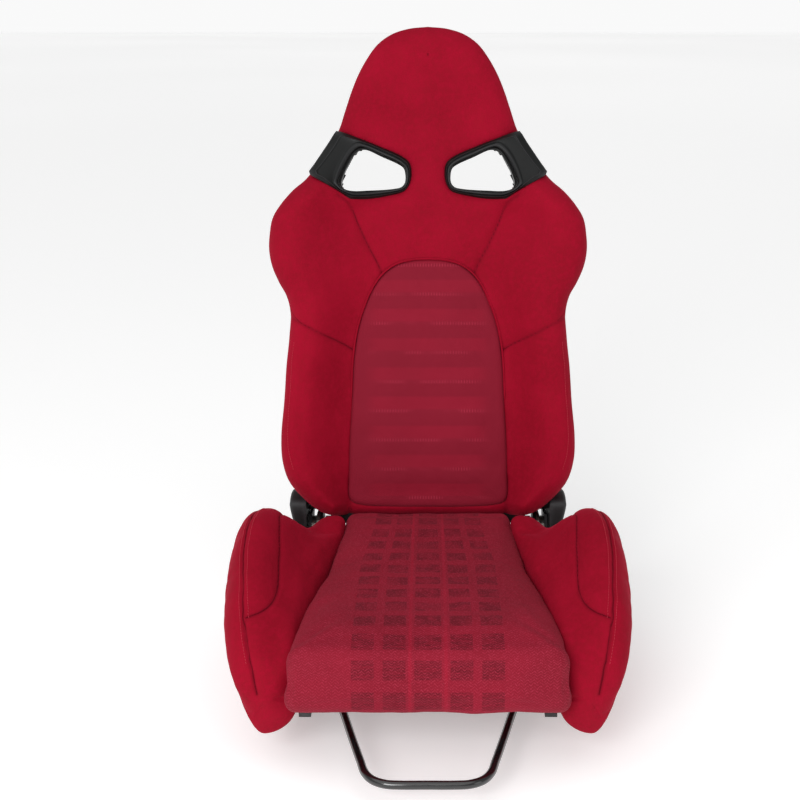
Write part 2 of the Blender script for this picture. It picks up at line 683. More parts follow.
def half_width(s):
    return np.interp(s, back_edge[:, 1], back_edge[:, 0])


def ripples(x, y, wave, seed):
    """Smooth, repeatable unevenness from crossed waves, about -1 to 1."""
    total = 0.0
    for k in range(5):
        turn = seed * 1.7 + k * 2.399
        pace = 2 * np.pi / (wave * (0.75 + 0.17 * k))
        total = total + np.sin(pace * (x * np.cos(turn) + y * np.sin(turn)) + seed * 3.1 + k * 1.3
                               + 0.8 * np.sin(pace * 0.43 * (y * np.cos(turn) - x * np.sin(turn))))
    return total / 2.6


def trim_front(x, s):
    outboard = mix(-30.0, 10.0, (s - 564) / 82)
    return mix(2.0, mix(2.0, outboard, smoothstep(70, 190, x)), 1.0)


def back_front(x, s):
    """Depth of the cover's front before its edges roll back: bolsters, lumbar swell and chest."""
    across = np.abs(x)
    foot = table_at(FOOT_LINE, s)
    crest = np.maximum(half_width(s) - 36, foot + 28)
    height = BOLSTER_HEIGHT * (1 - smoothstep(500, 640, s)) * mix(0.8, 1.0, smoothstep(0, 70, s))
    swell = 7 * np.exp(-((s - 150) / 110.0) ** 2) * (1 - smoothstep(90, 140, across))
    return -height * smoothstep(foot, crest, across) ** 0.9 - swell


def capsule(outline, insets, steps, low, high):
    """Rings of plane points from a closed outline inwards, ending on a spine from low to high at x 0."""
    normal = inward_normals(outline)
    rings = [outline + normal * inset for inset in insets]
    inner = rings[-1]
    target = np.stack([np.zeros(len(outline)), np.clip(inner[:, 1], low, high)], axis=1)
    for k in range(1, steps + 1):
        rings.append(mix(inner, target, k / steps))
    return np.array(rings)


def weld(piece, gap=0.02):
    bm = bmesh.new()
    bm.from_mesh(piece.data)
    bmesh.ops.remove_doubles(bm, verts=bm.verts, dist=gap * MM)
    bmesh.ops.recalc_face_normals(bm, faces=bm.faces)
    bm.to_mesh(piece.data)
    bm.free()


def back_cover():
    """The red skin of the backrest in one piece, tucked in under the trims and the insert."""
    head = smoothstep(500, 640, back_ring[:, 1])
    radii = mix(*COVER_ROLL, head)
    drops = mix(*COVER_DROP, head)
    normal = inward_normals(back_ring)
    count = len(back_ring)
    spine = np.stack([np.zeros(count), np.clip(back_ring[:, 1], *COVER_SPINE)], axis=1)
    rows = []
    # Rear face, from its spine out to its edge.
    for k in range(6):
        rows.append((mix(spine, back_ring + normal * 24, k / 5), np.full(count, COVER_REAR)))
    for inset, rear in ((17, COVER_REAR), (COVER_LIP, COVER_REAR - 1)):
        rows.append((back_ring + normal * inset, np.full(count, rear)))
    # Side wall, then the rolled edge, then the front face in to the spine.
    start = back_front(*back_ring.T) + drops
    for k in range(1, 15):
        share = k / 15
        inset = COVER_LIP * (1 - smoothstep(0, 0.55, share))
        rows.append((back_ring + normal * inset, mix(COVER_REAR - 4, start, share)))
    for angle in np.linspace(0, np.pi / 2, 13):
        plane = back_ring + normal * (radii * (1 - np.cos(angle)))[:, None]
        rows.append((plane, back_front(*plane.T) + drops * (1 - np.sin(angle))))
    inner = rows[-1][0]
    for k in range(1, FACE_STEPS + 1):
        plane = mix(inner, spine, k / FACE_STEPS)
        rows.append((plane, back_front(*plane.T)))
    plane = np.vstack([r[0] for r in rows])
    depth = np.concatenate([r[1] for r in rows])
    front = np.arange(len(plane)) >= REAR_RINGS * count
    x, s = plane.T
    half_plane = folded(plane)

    trim_in = inside_distance(half_plane, trim_ring)
    near = np.exp(-np.maximum(0, -trim_in) / 20) * front * smoothstep(490, 532, s)
    surface = back_front(x, s)
    depth = depth + near * (trim_front(np.abs(x), s) + 1.0 - surface) * (depth < 40)
    tucked = np.exp(-np.maximum(0, -trim_in) / 5.0) * 3.0 + 13 * smoothstep(1, 6, trim_in)
    insert_in = inside_distance(plane, insert_ring)
    tucked = tucked + 2.0 * np.exp(-np.maximum(0, -insert_in) / 7.0) + 12 * smoothstep(0, 6, insert_in)
    seam = np.full(len(plane), 99.0)
    for line in (CHEST_SEAM, WAIST_SEAM, LOWER_SEAM):
        d, _ = line_distance(half_plane, spline(line, 6.0))
        seam = np.minimum(seam, np.abs(d))
    valley = 3.0 * np.exp(-seam / 11) + 1.6 * np.exp(-(seam / 3.4) ** 2)
    loose = ripples(x, s, 90.0, 1.0) * 0.9 + ripples(x, s, 34.0, 2.0) * 0.35
    depth = depth + front * (valley + tucked + loose)
    points = back_point(x, s, depth)
    faces = grid_faces(len(rows), count, wrap=True)
    cut = inside_distance(half_plane, slot_ring) > -np.where(front, *SLOT_OVERLAP)
    faces = [f for f in faces if not (all if front[f[0]] else any)(cut[i] for i in f)]
    piece = make_mesh("back_cover", points, faces)
    point_value(piece, "seam", seam)
    point_place(piece, "cloth", np.stack([x, s, np.zeros(len(x))], axis=1))
    weld(piece)
    return finish_piece(piece, "backrest", KNIT,
                        ("back_foam", "back_bolster_left", "back_bolster_right", "head_pad"))


SIDE_STITCH = [(223, 296), (225, 270), (228, 235), (231, 190), (232, 150), (230, 110), (222, 78)]


def back_seams(cover):
    """Sewn lines of the cover and the single row of stitches beside its outer edge."""
    for side, sign in (("left", 1), ("right", -1)):
        lines = []
        for line in (CHEST_SEAM, WAIST_SEAM, LOWER_SEAM):
            x, s = np.array(line, float).T
            lines.append(back_point(sign * x, s, back_front(x, s) + 5))
        finish_piece(seam_lines(cover, lines, "back_seams_" + side), "backrest", SEAM_SHADE)
        x, s = spline(SIDE_STITCH, 8.0).T
        row = snapped(cover, back_point(sign * x, s, back_front(x, s) + 4))
        stitches = make_mesh("back_stitches_" + side, *stitch_row(*row))
        finish_piece(stitches, "backrest", THREAD)


back_seams(back_cover())


# ------------------------------------------------------------------ backrest insert
INSERT_STEPS = [0.0, 0.6, 2.0, 4.5, 8.0, 12.0]     # distances in from the insert's edge
INSERT_LIFTS = [7.0, 4.6, 2.4, 1.0, 0.25, 0.0]     # how far its face turns back at each of them
INSERT_CROWN = 7.0
INSERT_REAR = 14.0


def back_insert():
    """The woven centre panel of the backrest: a crowned pad with a rolled edge."""
    rings = capsule(insert_ring, INSERT_STEPS, 44, 60, 380)
    plane = np.vstack([insert_ring, rings.reshape(-1, 2)])
    x, s = plane.T
    inside = np.maximum(inside_distance(plane, insert_ring), 0)
    lift = np.interp(inside, INSERT_STEPS, INSERT_LIFTS)
    crown = INSERT_CROWN * smoothstep(0, 70, inside)
    bands = 0.5 * np.sin(2 * np.pi * (s - BAND_START) / BAND_PITCH)
    loose = ripples(x, s, 80.0, 5.0) * 0.8 + ripples(x, s, 26.0, 6.0) * 0.25
    depth = back_front(x * 0.8, s) - 1.0 - crown + lift + (bands + loose) * smoothstep(0, 20, inside)
    depth[: len(insert_ring)] = INSERT_REAR
    points = back_point(x, s, depth)
    piece = make_mesh("back_insert_pad", points, grid_faces(len(rings) + 1, len(insert_ring), wrap=True))
    point_value(piece, "seam", inside + 0.6)
    point_place(piece, "cloth", np.stack([x, s, np.zeros(len(x))], axis=1))
    weld(piece)
    return finish_piece(piece, "backrest", BACK_WEAVE, ("back_insert",))


back_insert()


def insert_welt():
    """Thin piping round the arch of the insert, sewn into the gap at its edge."""
    half = insert_edge[insert_edge[:, 1] > 190]
    line = np.vstack([half, half[::-1][1:] * (-1, 1)])
    ahead = np.gradient(line, axis=0)
    normal = np.stack([ahead[:, 1], -ahead[:, 0]], axis=1) / np.linalg.norm(ahead, axis=1)[:, None]
    line = line + normal * 1.6
    depth = back_front(*line.T) + 0.8
    depth[:3] += (6, 3, 1)
    depth[-3:] += (1, 3, 6)
    path = back_point(*line.T, depth)
    outward = back_point(*line.T, depth - 5) - path
    points, faces = sweep(path, circle(1.7, 10), ups=outward / np.linalg.norm(outward, axis=1)[:, None])
    piece = make_mesh("insert_welt", points, faces)
    point_value(piece, "seam", np.full(len(points), 99.0))
    face_outwards(piece)
    finish_piece(piece, "backrest", KNIT)


insert_welt()


# ------------------------------------------------------------------ lining flap under the backrest
FLAP_HALF_WIDTH = 166.0
FLAP_FRONT = 158.0           # row y of the flap's front face
FLAP_TOP = 213.0
FLAP_BOTTOM = 172.0
FLAP_THICK = 1.6


def lining_flap():
    """Black lining hung from the underside of the backrest: it closes the gap above the seat's rear edge."""
    across = np.linspace(-FLAP_HALF_WIDTH, FLAP_HALF_WIDTH, 111)
    down = np.linspace(FLAP_TOP, FLAP_BOTTOM, 19)
    x, z = np.meshgrid(across, down, indexing="ij")
    swing = 5.0 * ((FLAP_TOP - z) / (FLAP_TOP - FLAP_BOTTOM)) ** 2
    front = np.stack([x, FLAP_FRONT + swing + ripples(x, z, 70.0, 3.0) * 1.2, z], axis=-1)
    loops = np.concatenate([front, front[:, ::-1] + np.array([0.0, FLAP_THICK, 0.0])], axis=1)
    piece = make_mesh("back_lining_flap", *stacked(loops))
    face_outwards(piece)
    finish_piece(piece, "backrest", SHELL_PLASTIC)


lining_flap()


# ------------------------------------------------------------------ rear shell
SHELL_INSET = 5.0
SHELL_SPINE = (60, 740)
SHELL_EDGE = 26.0            # width of the shell's rolled rim
SHELL_FRONT = 76.0           # depth of the shell's front edge and of its closing face
SHELL_SCREWS = [(214, 110), (212, 215), (208, 320), (238, 440), (90, 700), (150, 40)]
SHIELD_HALF = [(0, 60), (110, 62), (150, 90), (168, 180), (166, 300), (150, 400), (118, 470), (60, 500),
               (0, 505)]
FLUTE_X = 52.0
SCREW_SIDES = 24




SHELL_SHIELD = spline(mirrored_outline(SHIELD_HALF), 6.0, closed=True)[:-1]


def shell_rear(x, s):
    """Depth of the shell's rear face: a raised middle shield, two long flutes and a crown."""
    across = np.abs(x)
    shield = smoothstep(0, 14, inside_distance(np.stack([across, s], axis=1), SHELL_SHIELD))
    flute = np.exp(-((across - FLUTE_X) / 6.0) ** 2) * smoothstep(70, 110, s) * (1 - smoothstep(400, 450, s))
    return SHELL_REAR + 4.0 * shield - 5.0 * flute + 1.5 * np.cos(np.clip(across / 230, 0, 1) * np.pi / 2)


def rear_shell():
    """The moulded rear shell: a rolled rim round a sculpted face, open at the slots, closed in front."""
    edge = grown(back_ring[back_ring[:, 1] > -10], -SHELL_INSET)
    turns = np.linspace(0, math.pi / 2, 10)[1:]
    insets = [0.0, 0.0, 0.0] + [SHELL_EDGE * (1 - math.cos(a)) for a in turns]
    depths = [SHELL_FRONT, 80.0, 84.0] + [84 + 24 * math.sin(a) for a in turns]
    rings = capsule(edge, insets, 46, *SHELL_SPINE)
    plane = rings.reshape(-1, 2)
    count = len(edge)
    depth = np.concatenate([np.full(count, d) for d in depths] + [np.zeros(count)] * 46)
    inner = np.arange(len(plane)) >= len(insets) * count
    blend = smoothstep(0, 18, inside_distance(plane, rings[len(insets) - 1]))
    depth = np.where(inner, mix(SHELL_REAR, shell_rear(*plane.T), blend), depth)
    half_plane = folded(plane)
    beside_slot = np.maximum(0, -inside_distance(half_plane, grown(slot_ring, 14.0)))
    depth -= 3.0 * np.exp(-beside_slot / 4.0) * inner * 0.4
    cut = inside_distance(half_plane, slot_ring) > -9.0
    faces = [f for f in grid_faces(len(rings), count, wrap=True) if not all(cut[i] for i in f)]
    closing = capsule(edge, [0.0, 12.0], 6, *SHELL_SPINE)
    flat = closing.reshape(-1, 2)
    cut = inside_distance(folded(flat), slot_ring) > -11.0
    flat_faces = [f for f in grid_faces(len(closing), count, wrap=True) if not any(cut[i] for i in f)]
    piece = make_mesh("rear_shell", *merge([(back_point(*plane.T, depth), faces),
                                            (back_point(*flat.T, SHELL_FRONT), flat_faces)]))
    weld(piece)
    finish_piece(piece, "backrest", SHELL_PLASTIC, ("back_shell",))


def hexagon_reach(angle):
    """Reach of a hexagon's edge at an angle, against that of its corners."""
    return math.cos(math.pi / 6) / np.cos((angle % (math.pi / 3)) - math.pi / 6)


def dome_screw(x, s, depth, radius=6.0):
    """Button-head screw with a hexagon socket, standing on the shell's rear face."""
    profile = [(0.0, 0.6), (2.2, 0.6), (2.3, 2.9), (2.9, 3.3), (4.4, 2.8), (5.5, 1.7),
               (radius, 0.3), (radius, -1.0)]
    points = []
    for k, (r, h) in enumerate(profile):
        for a in np.arange(SCREW_SIDES) * 2 * math.pi / SCREW_SIDES:
            reach = r * hexagon_reach(a) if k in (1, 2) else r
            points.append(back_point(x + reach * math.cos(a), s + reach * math.sin(a), depth + h))
    return np.array(points), grid_faces(len(profile), SCREW_SIDES, wrap=True)


def shell_screws():
    parts = []
    for x, s in SHELL_SCREWS:
        for sign in (1, -1):
            depth = float(shell_rear(np.array([x]), np.array([s]))[0])
            parts.append(dome_screw(sign * x, s, depth - 0.5))
    piece = make_mesh("shell_screws", *merge(parts))
    weld(piece)
    finish_piece(piece, "backrest", ZINC)


def rear_bezel():
    rows = [(0.0, 74.0), (0.0, 90.0), (0.0, 108.0), (0.4, 110.6), (1.6, 112.0), (3.2, 112.6), (8.0, 112.4),
            (11.5, 111.8), (13.2, 110.6), (13.6, 108.0), (12.0, 106.5)]
    plane = np.array([grown(slot_ring, d + 4.5) + (2.0, 5.0) for d, _ in rows])
    depth = np.array([np.full(len(slot_ring), t) for _, t in rows])
    points = back_point(plane[..., 0].ravel(), plane[..., 1].ravel(), depth.ravel())
    left = make_mesh("rear_bezel_left", points, grid_faces(len(rows), len(slot_ring), wrap=True))
    face_outwards(left)
    finish_pair(left, "backrest", TRIM_PLASTIC, "harness_bezel_rear")


rear_shell()
shell_screws()
rear_bezel()


# ------------------------------------------------------------------ harness trims
TRIM_CENTRE = (92.0, 578.0)
TRIM_REAR = 73.0
TRIM_BEAD = 15.0             # width of the raised bead round the slot
TRIM_STRIP = 13.0            # width of the stepped strip along the trim's outer edge
# Share of the width, and how far behind the trim's face the surface lies there.
TRIM_BEAD_LIFTS = [(0.0, 6.0), (0.02, 4.6), (0.08, 4.0), (0.2, 3.8), (0.25, 3.4), (0.28, 1.0), (0.33, -1.4),
                   (0.42, -3.2), (0.54, -4.2), (0.66, -4.4), (0.78, -3.9), (0.9, -2.6), (1.0, -1.2)]
TRIM_STRIP_LIFTS = [(0.03, -2.9), (0.08, -2.9), (0.16, -1.6), (0.5, 0.4), (0.8, 2.6), (0.93, 4.2),
                    (1.0, 6.5), (1.0, 11.0), (0.97, 16.0)]


def ray_to_ring(centre, direction, ring):
    """Where a ray from centre leaves a ring that is seen whole from there."""
    ends = np.roll(ring, -1, axis=0)
    best = 0.0
    for a, b in zip(ring, ends):
        edge = b - a
        cross = direction[0] * edge[1] - direction[1] * edge[0]
        if abs(cross) < 1e-9:
            continue
        rel = a - centre
        along = (rel[0] * edge[1] - rel[1] * edge[0]) / cross
        part = (rel[0] * direction[1] - rel[1] * direction[0]) / cross
        if along > 0 and -1e-6 <= part <= 1 + 1e-6:
            best = max(best, along)
    return centre + direction * best


def slot_wall(share):
    """The slot's wall: it widens and climbs a little towards the rear."""
    return grown(slot_ring, 4.5 * share) + np.array([2.0, 5.0]) * share


def harness_trim():
    """The black surround of a belt slot: its wall, a raised bead, a face and a stepped outer strip."""
    centre = np.array(TRIM_CENTRE)
    inner = slot_ring
    outer = []
    for point in inner:
        direction = (point - centre) / np.linalg.norm(point - centre)
        outer.append(ray_to_ring(centre, direction, trim_ring))
    outer = np.array(outer)
    width = np.linalg.norm(outer - inner, axis=1)
    way = (outer - inner) / width[:, None]
    bead = np.minimum(TRIM_BEAD, width * 0.6)
    strip = np.minimum(TRIM_STRIP, width * 0.3)
    rows = []

    def ring(distance, lift):
        plane = inner + way * distance[:, None]
        rows.append((plane, trim_front(*plane.T) + lift))

    def wall_depth(share):
        return mix(trim_front(*inner.T) + 6, TRIM_REAR, share)

    for share in (1.0, 0.75, 0.5, 0.3, 0.26):
        rows.append((slot_wall(share), wall_depth(share)))
    rows.append((slot_wall(0.24) + (inner - slot_wall(0.24)) * 0.6, wall_depth(0.24)))
    for share, lift in TRIM_BEAD_LIFTS:
        ring(bead * share, lift)
    for share in np.linspace(0.08, 1, 9):
        ring(mix(bead, width - strip, share), -1.0 - 0.8 * share)
    for share, lift in TRIM_STRIP_LIFTS:
        ring(width - strip * (1 - share), lift)
    plane = np.vstack([r[0] for r in rows])
    depth = np.concatenate([r[1] for r in rows])
    points = back_point(plane[:, 0], plane[:, 1], depth)
    left = make_mesh("harness_bezel_left", points, grid_faces(len(rows), len(inner), wrap=True))
    face_outwards(left)
    finish_pair(left, "backrest", TRIM_PLASTIC, "harness_trim")


harness_trim()


# ------------------------------------------------------------------ padded pieces blown up under pressure
def bake(piece):
    """Applies every modifier of a piece to its mesh."""
    graph = bpy.context.evaluated_depsgraph_get()
    mesh = bpy.data.meshes.new_from_object(piece.evaluated_get(graph))
    piece.modifiers.clear()
    old = piece.data
    piece.data = mesh
    mesh.name = old.name
    bpy.data.meshes.remove(old)
    piece.data.shade_smooth()


def relax(piece, rounds, share=0.5):
    """Evens out the mesh by moving each point towards the middle of its neighbours."""
    edges = np.zeros(len(piece.data.edges) * 2, np.int32)
    piece.data.edges.foreach_get("vertices", edges)
    a, b = edges.reshape(-1, 2).T
    points = coordinates(piece)
    degree = np.bincount(np.r_[a, b], minlength=len(points))[:, None]
    for k in range(rounds):
        total = np.zeros_like(points)
        np.add.at(total, a, points[b])
        np.add.at(total, b, points[a])
        points = points + share * (total / degree - points)
    set_coordinates(piece, points)


def inflate(piece, pressure, cap, held, frames=20):
    """Blows the cover up against its own stretch; held(points) gives 1 where it is fixed to the frame."""
    rest = coordinates(piece)
    pins = piece.vertex_groups.new(name="held")
    weight = np.clip(held(rest), 0, 1)
    for index in np.nonzero(weight > 0)[0]:
        pins.add([int(index)], float(weight[index]), "REPLACE")
    cloth = piece.modifiers.new("cover", "CLOTH")
    cloth.settings.quality = 5
    cloth.settings.mass = 0.3
    cloth.settings.tension_stiffness = 12
    cloth.settings.compression_stiffness = 12
    cloth.settings.shear_stiffness = 4
    cloth.settings.bending_stiffness = 0.6
    cloth.settings.use_pressure = True
    cloth.settings.uniform_pressure_force = pressure
    cloth.settings.vertex_group_mass = "held"
    cloth.settings.effector_weights.gravity = 0
    cloth.collision_settings.use_collision = False
    scene = bpy.context.scene
    for number in range(1, frames + 1):
        scene.frame_set(number)
    bake(piece)
    scene.frame_set(1)
    moved = coordinates(piece) - rest
    length = np.maximum(np.linalg.norm(moved, axis=1), 1e-6)
    moved *= (cap * np.tanh(length / cap) / length)[:, None]
    set_coordinates(piece, rest + moved)
    piece.vertex_groups.clear()


def subdivide(piece):
    made = piece.modifiers.new("finer", "SUBSURF")
    made.levels = made.render_levels = 1
    bake(piece)


# Seat cushion sections: y, half width, underside, top.
CUSHION_STATIONS = [
    (92, 137, 116, 203), (60, 141, 112, 202), (0, 148, 108, 200), (-60, 154, 107, 199), (-125, 161, 106, 200),
    (-178, 171, 106, 202), (-227, 180, 105, 204), (-274, 186, 105, 206), (-330, 191, 105, 208),
    (-372, 194, 106, 205),
]
# The cushion's middle line from its rear edge, over the top and down the front, as (y, z).
CUSHION_PROFILE = [(104, 205), (60, 204), (-60, 200), (-178, 203), (-274, 207), (-340, 208), (-372, 205),
                   (-388, 194), (-394, 176), (-395, 160), (-393, 135), (-384, 114)]
CUSHION_REAR_RADIUS = 12.0
CUSHION_FRONT_RADIUS = 24.0

# Left thigh bolster sections: y, then eight (x, z) points from the inner top edge, over the crest,
# to the inner bottom.
WING_STATIONS = [
    (66, (138, 211), (167, 214), (198, 190), (244, 172), (268, 150), (262, 118), (238, 84), (184, 84)),
    (40, (141, 207), (172, 210), (208, 196), (248, 210), (272, 187), (264, 130), (240, 78), (184, 80)),
    (0, (145, 202), (180, 208), (216, 230), (251, 247), (280, 216), (268, 140), (242, 70), (184, 78)),
    (-60, (150, 200), (184, 218), (226, 262), (258, 277), (287, 244), (273, 150), (242, 64), (184, 78)),
    (-120, (157, 200), (190, 222), (235, 277), (266, 288), (290, 256), (277, 160), (242, 60), (184, 78)),
    (-180, (167, 200), (198, 221), (240, 271), (269, 279), (291, 248), (278, 160), (240, 56), (184, 78)),
    (-240, (176, 199), (204, 215), (240, 252), (267, 258), (289, 226), (278, 150), (238, 54), (184, 79)),
    (-290, (183, 197), (206, 207), (239, 228), (264, 230), (285, 200), (274, 138), (236, 54), (184, 80)),
    (-325, (186, 187), (208, 194), (238, 204), (259, 202), (277, 172), (267, 124), (232, 54), (185, 80)),
    (-350, (188, 165), (209, 171), (234, 174), (251, 168), (265, 143), (257, 106), (230, 54), (187, 77)),
]
WING_END_BULGE = 12.0
WING_OUTER_SEAM = [(246, 56, 214), (254, 0, 248), (262, -60, 277), (266, -108, 288), (269, -156, 286),
                   (268, -205, 271), (262, -262, 248), (254, -311, 215), (247, -340, 186),
                   (240, -356, 159), (233, -362, 125)]
WING_INNER_SEAM = [(206, 50, 200), (222, 0, 240), (228, -60, 266), (224, -124, 265), (219, -180, 246),
                   (214, -249, 224), (219, -281, 220), (230, -299, 219), (252, -312, 216)]


def through(stations, count):
    """Evenly spaced rows on smooth curves through a table of stations."""
    table = np.array(stations, float)
    run = np.r_[0, np.cumsum(np.abs(np.diff(table[:, 0])) + 1e-6)]
    padded = np.vstack([2 * table[0] - table[1], table, 2 * table[-1] - table[-2]])
    pads = np.r_[2 * run[0] - run[1], run, 2 * run[-1] - run[-2]]
    at = np.linspace(0, run[-1], count)
    k = np.clip(np.searchsorted(run, at, side="right") - 1, 0, len(run) - 2)
    t = ((at - run[k]) / (run[k + 1] - run[k]))[:, None]
    gap = (run[k + 1] - run[k])[:, None]
    p0, p1, p2, p3 = (padded[k + j] for j in range(4))
    m1 = gap * (p2 - p0) / (pads[k + 2] - pads[k])[:, None]
    m2 = gap * (p3 - p1) / (pads[k + 3] - pads[k + 1])[:, None]
    return ((2 * t**3 - 3 * t**2 + 1) * p1 + (t**3 - 2 * t**2 + t) * m1 + (3 * t**2 - 2 * t**3) * p2
            + (t**3 - t**2) * m2)


def rounded_section(half, low, high, top_radius, low_radius):
    """An x-z ring with rounded corners, anticlockwise from the middle of the underside."""
    ring = [(0.0, low)]
    for x, z, r, start in ((half, low, low_radius, -90), (half, high, top_radius, 0),
                           (-half, high, top_radius, 90), (-half, low, low_radius, 180)):
        cx = x - math.copysign(r, x)
        cz = z + r if z == low else z - r
        for step in range(7):
            angle = math.radians(start + 15 * step)
            ring.append((cx + r * math.cos(angle), cz + r * math.sin(angle)))
    return np.array(ring)


def even_ring(ring, count):
    ring = np.vstack([ring, ring[:1]])
    run = np.r_[0, np.cumsum(np.linalg.norm(np.diff(ring, axis=0), axis=1))]
    at = np.linspace(0, run[-1], count, endpoint=False)
    return np.stack([np.interp(at, run, ring[:, k]) for k in range(ring.shape[1])], axis=1)


def capped(rings, ends):
    """A closed skin over rings of points, each end drawn in to its own middle line."""
    rings = list(rings)
    for which, bulge in ends:
        edge = rings[-1 if which == "last" else 0]
        middle = edge.mean(axis=0)
        drawn = []
        for k in range(1, 9):
            share = 1 - k / 8
            inner = middle + (edge - middle) * share
            inner[:, 1] += bulge * (1 - share**2)
            drawn.append(inner)
        rings = rings + drawn if which == "last" else drawn[::-1] + rings
    return np.array(rings)


def seat_cushion():
    count = 132
    rows = through(CUSHION_STATIONS, 64)
    rings = []

    def section(y, half, low, high, inset, radius):
        corners = max(radius - inset, 3), max(16 - inset, 3)
        ring = even_ring(rounded_section(half - inset, low + inset, high - inset, *corners), count)
        rings.append(np.stack([ring[:, 0], np.full(count, y + ORIGIN_SHIFT), ring[:, 1]], axis=1))

    for angle in np.linspace(math.pi / 2, 0, 7)[:-1]:
        inset = CUSHION_REAR_RADIUS * (1 - math.cos(angle))
        section(rows[0][0] + CUSHION_REAR_RADIUS * math.sin(angle), *rows[0][1:], inset, 15)
    for y, half, low, high in rows:
        section(y, half, low, high, 0, mix(15, 25, smoothstep(0, -372, y)))
    for angle in np.linspace(0, math.pi / 2, 10)[1:]:
        inset = CUSHION_FRONT_RADIUS * (1 - math.cos(angle))
        section(rows[-1][0] - 20 * math.sin(angle), *rows[-1][1:], inset, 25)
    rings = capped(rings, (("first", 2.0), ("last", -5.0)))
    points = rings.reshape(-1, 3)
    piece = make_mesh("seat_cushion_cover", points, grid_faces(len(rings), count, wrap=True))
    weld(piece)
    inflate(piece, 4.0, 6.0, cushion_held)
    subdivide(piece)
    points = coordinates(piece)
    x, y, z = points.T
    profile = spline([(a + ORIGIN_SHIFT, b) for a, b in CUSHION_PROFILE], 5.0)
    _, along = line_distance(np.stack([y, z], axis=1), profile)
    loose = ripples(x, along, 85.0, 8.0) * 0.8 + ripples(x, along, 30.0, 9.0) * 0.25
    set_coordinates(piece, points + vertex_normals(piece) * loose[:, None])
    point_value(piece, "seam", np.full(len(points), 99.0))
    point_place(piece, "cloth", np.stack([x, along, z], axis=1))
    return finish_piece(piece, "seat_base", SEAT_WEAVE, ("seat_cushion",))


def cushion_held(points):
    """1 where the cushion's cover is fixed: along its underside and its rear end."""
    return np.maximum(smoothstep(150, 120, points[:, 2]), smoothstep(100, 125, points[:, 1]))


def wing_held(points):
    """1 where the bolster's cover is fixed: along its underside, and beside the recline lever."""
    x, y, z = points.T
    beside_lever = smoothstep(235, 255, x) * smoothstep(-90, -50, y) * smoothstep(185, 155, z)
    return np.maximum(smoothstep(90, 65, z), beside_lever)


def thigh_bolsters():
    count = 96
    table = [(y, *[value for point in points for value in point]) for y, *points in WING_STATIONS]
    rings = []
    for row in through(table, 74):
        ring = even_ring(spline(row[1:].reshape(-1, 2), 3.0, closed=True)[:-1], count)
        rings.append(np.stack([ring[:, 0], np.full(count, row[0] + ORIGIN_SHIFT), ring[:, 1]], axis=1))
    rings = capped(rings, (("first", 8.0), ("last", -WING_END_BULGE)))
    piece = make_mesh("thigh_cover_left", rings.reshape(-1, 3), grid_faces(len(rings), count, wrap=True))
    weld(piece)
    relax(piece, 3)
    inflate(piece, 4.0, 4.5, wing_held)
    subdivide(piece)
    points = coordinates(piece)
    x, y, z = points.T
    loose = ripples(y, z + x, 80.0, 11.0) * 0.5 + ripples(y, z + x, 28.0, 12.0) * 0.2
    set_coordinates(piece, points + vertex_normals(piece) * loose[:, None])
    row_shift = np.array([0.0, ORIGIN_SHIFT, 0.0])
    outer = snapped(piece, np.array(WING_OUTER_SEAM) + row_shift)
    inner = snapped(piece, np.array(WING_INNER_SEAM) + row_shift)
    nearest = press_seams(piece, [outer[0], inner[0]])
    point_value(piece, "seam", nearest)
    rows = []
    for aside, start, stop in ((-5.0, 0.35, 0.92), (8.0, 0.25, 0.8)):
        part = slice(int(len(outer[0]) * start), int(len(outer[0]) * stop))
        across = np.cross(np.gradient(outer[0], axis=0), outer[1])[part]
        across /= np.linalg.norm(across, axis=1)[:, None]
        rows.append(stitch_row(*snapped(piece, outer[0][part] + across * aside)))
    finish_pair(make_mesh("thigh_stitches_left", *merge(rows)), "seat_base", THREAD)
    folds = seam_lines(piece, [outer[0], inner[0]], "thigh_seams_left")
    finish_pair(folds, "seat_base", SEAM_SHADE)
    finish_pair(piece, "seat_base", KNIT, "thigh_bolster")


seat_cushion()
thigh_bolsters()


# ------------------------------------------------------------------ metalwork
PIVOT = (135.0, 155.0)       # y and z of the recline axis in the working frame
BAR_HEIGHT = 37.0
BAR_PATH = [(0, -441), (36, -441), (56, -439), (73, -430), (84, -414), (92, -385), (108, -322), (124, -257),
            (139, -205), (145, -178), (147, -150)]
COVER_INNER = 206.3
COVER_ARC = 72.0
COVER_LEAN = 15.0            # how far the cap's top leans outwards


def row_place(x, y, z):
    """A place in the row frame from one in the working frame."""
    return np.stack(np.broadcast_arrays(np.asarray(x, float), np.asarray(y, float) + ORIGIN_SHIFT,
                                        np.asarray(z, float)), axis=-1)


def release_bar():
    half = spline(BAR_PATH, 4.0)
    line = np.vstack([half[::-1] * (-1, 1), half[1:]])
    path = row_place(line[:, 0], line[:, 1], BAR_HEIGHT)
    parts = [sweep(path, circle(6.0, 20), ups=np.tile((0.0, 0.0, 1.0), (len(path), 1)))]
    outline = spline([(-164, 30), (-158, 40), (-148, 46), (-100, 46.4), (-95, 42), (-94.5, 33), (-99, 29.6),
                      (-130, 28.6), (-158, 28.4)], 3.0, closed=True)[:-1]
    for side in (-1, 1):
        rings = []
        for across, inset in ((-2.6, 1.0), (-2.0, 0.2), (-1.2, 0.0), (1.2, 0.0), (2.0, 0.2), (2.6, 1.0)):
            edge = grown(outline, -inset)
            rings.append(row_place(side * 148 + across, edge[:, 0], edge[:, 1]))
        parts.append(stacked(rings))
    piece = make_mesh("slide_release_bar_tube", *merge(parts))
    face_outwards(piece)
    piece.data.shade_smooth()
    sharpen(piece)
    finish_piece(piece, "release_bar", BAR_ENAMEL, ("slide_release_bar",))


